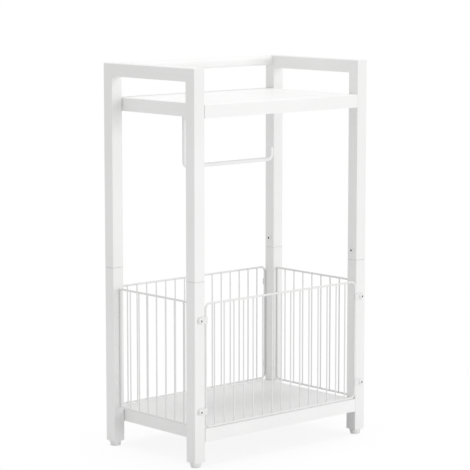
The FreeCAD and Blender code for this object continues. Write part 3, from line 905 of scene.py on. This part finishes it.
@dataclass
class Fasteners:
    """All the screws of the stand, placed by the boxes of their fixed nodes."""

    radius: float = 5.0
    height: float = 2.8
    shank: float = 2.4
    length: float = 12.0
    shelf_radius: float = 5.5
    shelf_height: float = 3.3
    shelf_shank: float = 2.9
    shelf_length: float = 14.0
    tray_sheet: float = 1.2

    def small_set(self, node: str) -> Screws:
        """A set of small screws without places."""
        return Screws(node, self.radius, self.height, self.shank, self.length)

    def panel_set(self) -> Screws:
        """Screws through the panel tabs, on the front and the back.

        Returns:
            The set.
        """
        screws = self.small_set("panel_screws")
        low, high = node_box(screws.node)
        for face, outward in ((low[1], FORWARD), (high[1], -FORWARD)):
            for x in (low[0] + self.radius, high[0] - self.radius):
                for z in (low[2] + self.radius, high[2] - self.radius):
                    screws.places.append((np.array((x, face, z)), outward))
        return screws

    def seam_set(self) -> Screws:
        """Screws on the inner faces of the posts, just above the seam."""
        inner = node_box("front_right_leg")[0][0] - self.height
        return self.small_set("seam_screws").face_across(inner)

    def shelf_set(self, shelf: str) -> Screws:
        """Screws inside the ends of a shelf tray.

        Args:
            shelf: The shelf's name, top or lower.

        Returns:
            The set.
        """
        inner = node_box(f"{shelf}_shelf_tray")[1][0] - self.tray_sheet - self.shelf_height
        node = f"{shelf}_shelf_screws"
        screws = Screws(node, self.shelf_radius, self.shelf_height, self.shelf_shank, self.shelf_length)
        return screws.face_across(inner)

    def holder_set(self) -> Screws:
        """Screws that hold the roll holder's plate, from below.

        Returns:
            The set.
        """
        screws = self.small_set("roll_holder_screws")
        low, high = node_box(screws.node)
        middle = (low[1] + high[1]) / 2
        for x in (low[0] + self.radius, high[0] - self.radius):
            screws.places.append((np.array((x, middle, low[2])), -UPRIGHT))
        return screws

    def build(self, paint: Paint) -> None:
        """Makes every set.

        Args:
            paint: Where the finishes come from.
        """
        plated = (Coat.ZINC, Coat.ZINC)
        # The panel screws' sockets take the mid-grey painted shade.
        self.panel_set().build(paint, (Coat.SCREW, Coat.GREY_SOCKET_PAINTED_SHADE), "screw")
        # The seam screws' sockets take the near-black painted shade.
        self.seam_set().build(paint, (Coat.SCREW, Coat.SOCKET), "screw")
        self.shelf_set("top").build(paint, plated, "steel")
        self.shelf_set("lower").build(paint, plated, "steel")
        self.holder_set().build(paint, plated, "steel")


@dataclass
class RollHolder:
    """The bent rod that hangs under the top shelf on a screwed plate.

    Tip is the height of the rod's turned-up end over its axis, and sink the depth to which the rod
    and its weld go into the plate.
    """

    rod: float = 8.0
    bend: float = 10.0
    tip: float = 24.0
    plate_length: float = 62.0
    plate_sheet: float = 3.0
    plate_corner: float = 5.0
    plate_edge: float = 0.5
    weld: float = 2.4
    sink: float = 1.0
    sides: int = 24
    bend_steps: int = 13
    corner_steps: int = 8

    def __post_init__(self) -> None:
        """Works out the rod's places from the fixed node's box."""
        self.low, self.high = node_box("roll_holder_rod")
        self.leg_x = self.low[0] + self.plate_length / 2
        self.tip_x = self.high[0] - self.rod / 2
        self.axis = self.low[2] + self.rod / 2
        self.under = self.high[2] - self.plate_sheet

    def rod_shell(self) -> Shell:
        """The rod: a circle carried down the leg, round a bend, along the run and up the short tip.

        Returns:
            The surface.
        """
        centre = self.axis + self.bend
        end = self.axis + self.tip
        down = np.array(((self.leg_x, self.under + self.sink), (self.leg_x, (self.under + self.axis) / 2)))
        first = arc((self.leg_x + self.bend, centre), self.bend, 180, 270, self.bend_steps)
        second = arc((self.tip_x - self.bend, centre), self.bend, 270, 360, self.bend_steps)
        rise = np.array(((self.tip_x, end - self.rod / 2), (self.tip_x, end)))
        flat = np.concatenate((down, first, second, rise))
        path = np.stack((flat[:, 0], np.zeros(len(flat)), flat[:, 1]), 1)
        path, radii = domed_ends(path, self.rod / 2)
        return round_sweep(path, radii, FORWARD, self.sides)

    def plate_shell(self) -> Shell:
        """The plate with round corners under the stiffener.

        Returns:
            The surface.
        """
        low = (self.leg_x - self.plate_length / 2, self.low[1])
        high = (self.leg_x + self.plate_length / 2, self.high[1])
        outline = rounded_outline(low, high, self.plate_corner, self.plate_corner, self.corner_steps)
        return plate(outline, self.under, self.high[2], self.plate_edge)

    def weld_shell(self) -> Shell:
        """The weld at the rod's root: a hollow quarter arc turned about the leg.

        Returns:
            The surface.
        """
        far = self.rod / 2 + self.weld
        hollow = arc((far, -self.weld), self.weld, 180, 90, self.corner_steps)
        start = np.array(((0.0, -self.weld),))
        finish = np.array(((far, self.sink), (0.0, self.sink)))
        profile = np.concatenate((start, hollow, finish))
        weld = turned(profile[:, :1], profile[:, 1:], self.sides)
        return weld.moved(np.array((self.leg_x, 0.0, self.under)))

    def build(self, paint: Paint) -> None:
        """Makes the holder in place of its fixed node and coats it."""
        piece = solid("roll_holder_bent_rod", [self.rod_shell(), self.plate_shell(), self.weld_shell()])
        paint.fit(piece, (Coat.POWDER,), "roll_holder_rod")


@dataclass
class LevellingFoot:
    """A turned plastic pad on a threaded stem, which slides with its own body.

    The pad stands on a narrow ring round a hollow, and leans out from its toe to its shoulder.
    """

    corner: str
    taper: float = 1.8
    lean: float = 8.0
    toe: float = 1.2
    shoulder: float = 0.9
    ring: float = 0.9
    hollow: float = 0.5
    pitch: float = 1.25
    thread: float = 0.62
    crest: float = 1.35
    pad_sides: int = 48
    round_steps: int = 7
    stem_sides: int = 32
    rows_in_pitch: int = 8

    def __post_init__(self) -> None:
        """Reads the boxes of the fixed pad and stem."""
        self.pad_low, self.pad_high = node_box(f"{self.corner}_foot_pad")
        self.stem_low, self.stem_high = node_box(f"{self.corner}_foot_stem")
        self.centre = (self.pad_low + self.pad_high) / 2
        self.body = f"{self.corner}_foot"

    def pad_shell(self) -> Shell:
        """The pad: a hollowed base, a round toe, a flared side and a rounded shoulder, turned.

        Returns:
            The surface.
        """
        height = self.pad_high[2] - self.pad_low[2]
        top = (self.pad_high[0] - self.pad_low[0]) / 2
        foot = top - self.taper
        ring = foot - self.toe - self.ring
        base = np.array(((0.0, self.hollow), (ring - self.hollow, self.hollow), (ring, 0.0)))
        toe = arc((foot - self.toe, self.toe), self.toe, -90, -self.lean, self.round_steps)
        middle = (top - self.shoulder, height - self.shoulder)
        shoulder = arc(middle, self.shoulder, -self.lean, 90, self.round_steps)
        crown = np.array(((0.0, height),))
        profile = np.concatenate((base, toe, shoulder, crown))
        return turned(profile[:, :1], profile[:, 1:], self.pad_sides)

    def stem_shell(self) -> Shell:
        """The threaded stem, with a flat pole at each end.

        Its radius is a saw wave of height less turn, cut flat at the crest and worn off at the top.

        Returns:
            The surface.
        """
        length = self.stem_high[2] - self.stem_low[2]
        radius = (self.stem_high[0] - self.stem_low[0]) / 2
        rows = int(length / self.pitch * self.rows_in_pitch) + 1
        rise = np.linspace(0.0, length, rows)[:, None]
        phase = (rise / self.pitch - around(self.stem_sides) / FULL_TURN) % 1.0
        wave = np.clip(self.crest * (1.0 - np.abs(2.0 * phase - 1.0)), 0.0, 1.0)
        fade = np.clip((length - rise) / self.pitch, 0.0, 1.0)
        reach = radius - self.thread * (1.0 - wave * fade)
        pole = np.zeros((1, self.stem_sides))
        reach = np.concatenate((pole, reach, pole))
        level = np.concatenate((rise[:1], rise, rise[-1:]))
        return turned(reach, level, self.stem_sides)

    def build(self, paint: Paint) -> None:
        """Makes the pad and the stem in place of their fixed nodes.

        Args:
            paint: Where the finishes come from.
        """
        spot = np.array((self.centre[0], self.centre[1], self.pad_low[2]))
        pad = solid(f"{self.corner}_pad", [self.pad_shell().moved(spot)])
        paint.fit(pad, (Coat.PLASTIC,), f"{self.corner}_foot_pad", self.body)
        spot[2] = self.stem_low[2]
        stem = solid(f"{self.corner}_threaded_stem", [self.stem_shell().moved(spot)])
        paint.fit(stem, (Coat.ZINC,), f"{self.corner}_foot_stem", self.body)


@dataclass
class Studio:
    """White floor and soft light.

    The floor's sizes are in metres, the lamps' widths in degrees. Floor_clear is the share of direct
    rays that the floor lets through near the stand, and floor_fade where that share grows to all.
    Floor_bounce is the share of light that the floor sends back, and ambient the world's own light.
    """

    floor_half: float = 6.0
    floor_clear: float = 0.88
    floor_bounce: float = 0.80
    floor_fade: Pair = (0.3, 1.2)
    ambient: float = 0.67
    front_from: Triple = (0.22, -0.97, 0.08)
    front_strength: float = 0.74
    front_width: float = 16.0
    top_from: Triple = (0.0, 0.0, 1.0)
    top_strength: float = 1.02
    top_width: float = 25.0

    def seen_directly(self, graph: NodeGraph) -> bpy.types.NodeSocket:
        """One for rays from the camera, from gloss and through glass, and nought for the rest.

        Args:
            graph: The tree that gets the nodes.

        Returns:
            The value.
        """
        path = graph.add("ShaderNodeLightPath")
        total = path.outputs["Is Camera Ray"]
        for ray in ("Is Glossy Ray", "Is Transmission Ray"):
            total = graph.combine("MAXIMUM", total, path.outputs[ray])
        return total

    def floor(self) -> None:
        """A square of floor under the stand."""
        half = self.floor_half
        mesh = bpy.data.meshes.new("floor")
        corners = [(-half, -half, 0.0), (half, -half, 0.0), (half, half, 0.0), (-half, half, 0.0)]
        mesh.from_pydata(corners, [], [(0, 1, 2, 3)])
        mesh.materials.append(self.floor_material())
        piece = bpy.data.objects.new("floor", mesh)
        bpy.context.scene.collection.objects.link(piece)

    def floor_material(self) -> bpy.types.Material:
        """Matt white that direct rays mostly pass through, to the white world behind.

        So the ground is as white as the world and still shows the stand's shadow, and a foot let
        down below the floor stays in sight. Further out, and from below, the floor is quite clear.

        Returns:
            The material.
        """
        graph = NodeGraph.of_material("floor_white")
        direct = self.seen_directly(graph)
        matt = graph.add("ShaderNodeBsdfDiffuse")
        graph.join(graph.spread(direct, (self.floor_bounce, 1.0)), matt.inputs["Color"])
        place = graph.add("ShaderNodeTexCoord")
        away = graph.add("ShaderNodeVectorMath", operation="LENGTH")
        graph.join(place.outputs["Object"], away.inputs[0])
        fade = graph.spread(away.outputs["Value"], (self.floor_clear, 1.0), self.floor_fade)
        above = graph.combine("MULTIPLY", fade, direct)
        facing = graph.add("ShaderNodeNewGeometry")
        clear = graph.combine("MAXIMUM", above, facing.outputs["Backfacing"])
        mix = graph.add("ShaderNodeMixShader")
        graph.join(clear, mix.inputs[0])
        graph.join(matt.outputs[0], mix.inputs[1])
        graph.join(graph.add("ShaderNodeBsdfTransparent").outputs[0], mix.inputs[2])
        graph.surface(mix)
        return graph.owner

    def world(self) -> None:
        """An even white world: full white where it is seen directly, dimmer as light."""
        world = bpy.data.worlds.new("white_room")
        bpy.context.scene.world = world
        graph = NodeGraph(world, "ShaderNodeOutputWorld")
        back = graph.add("ShaderNodeBackground", Color=(1.0, 1.0, 1.0, 1.0))
        level = graph.spread(self.seen_directly(graph), (self.ambient, 1.0))
        graph.join(level, back.inputs["Strength"])
        graph.surface(back)

    def lamp(self, name: str, source: Triple, strength: float, width: float) -> None:
        """A soft sun.

        Args:
            name: The lamp's name.
            source: The way towards the light.
            strength: Light on a face turned to it.
            width: Apparent width of the light in degrees.
        """
        data = bpy.data.lights.new(name, "SUN")
        data.energy = strength
        data.angle = math.radians(width)
        lamp = bpy.data.objects.new(name, data)
        lamp.rotation_mode = "QUATERNION"
        lamp.rotation_quaternion = Vector(source).to_track_quat("Z", "Y")
        bpy.context.scene.collection.objects.link(lamp)

    def build(self) -> None:
        """Sets the floor, the light and the plain view transform."""
        self.floor()
        self.world()
        self.lamp("front_light", self.front_from, self.front_strength, self.front_width)
        self.lamp("top_light", self.top_from, self.top_strength, self.top_width)
        bpy.context.scene.view_settings.view_transform = "Standard"


@dataclass
class PhotoCamera:
    """A long lens at the photograph's angle, with no shift.

    The focal length is in the photograph's pixels. Angles are in degrees and distances in
    millimetres; the aim lies off the stand's middle line by the offset, to the right and up.
    """

    image: float = 470.0
    sensor: float = 36.0
    focal: float = 2131.153
    azimuth: float = -41.813
    pitch: float = 7.84
    distance: float = 4109.552
    aim_height: float = 370.0
    offset: Pair = (-3.353, 31.238)

    def build(self) -> None:
        """Stands the camera back from its aim along the viewing angle and makes it the scene's."""
        turn, tilt = math.radians(self.azimuth), math.radians(self.pitch)
        back = Vector((math.sin(turn) * math.cos(tilt), -math.cos(turn) * math.cos(tilt), math.sin(tilt)))
        right = Vector((math.cos(turn), math.sin(turn), 0.0))
        up = back.cross(right)
        aim = Vector((0.0, 0.0, self.aim_height)) + right * self.offset[0] + up * self.offset[1]
        data = bpy.data.cameras.new("camera")
        data.sensor_width = self.sensor
        data.lens = self.focal * self.sensor / self.image
        camera = bpy.data.objects.new("camera", data)
        camera.location = (aim + back * self.distance) * MM
        camera.rotation_mode = "QUATERNION"
        camera.rotation_quaternion = (-back).to_track_quat("-Z", "Y")
        bpy.context.scene.collection.objects.link(camera)
        bpy.context.scene.camera = camera


def main() -> None:
    """Dresses the fixed frame, then builds each sub-assembly, the studio and the camera in order."""
    logging.basicConfig(level=logging.INFO, format="%(name)s: %(message)s")
    paint = Paint()
    FixedFrame().build(paint)
    Basket().build(paint)
    Fasteners().build(paint)
    RollHolder().build(paint)
    for corner in CORNERS:
        LevellingFoot(corner).build(paint)
    Studio().build()
    PhotoCamera().build()


if __name__ == "__main__":
    main()
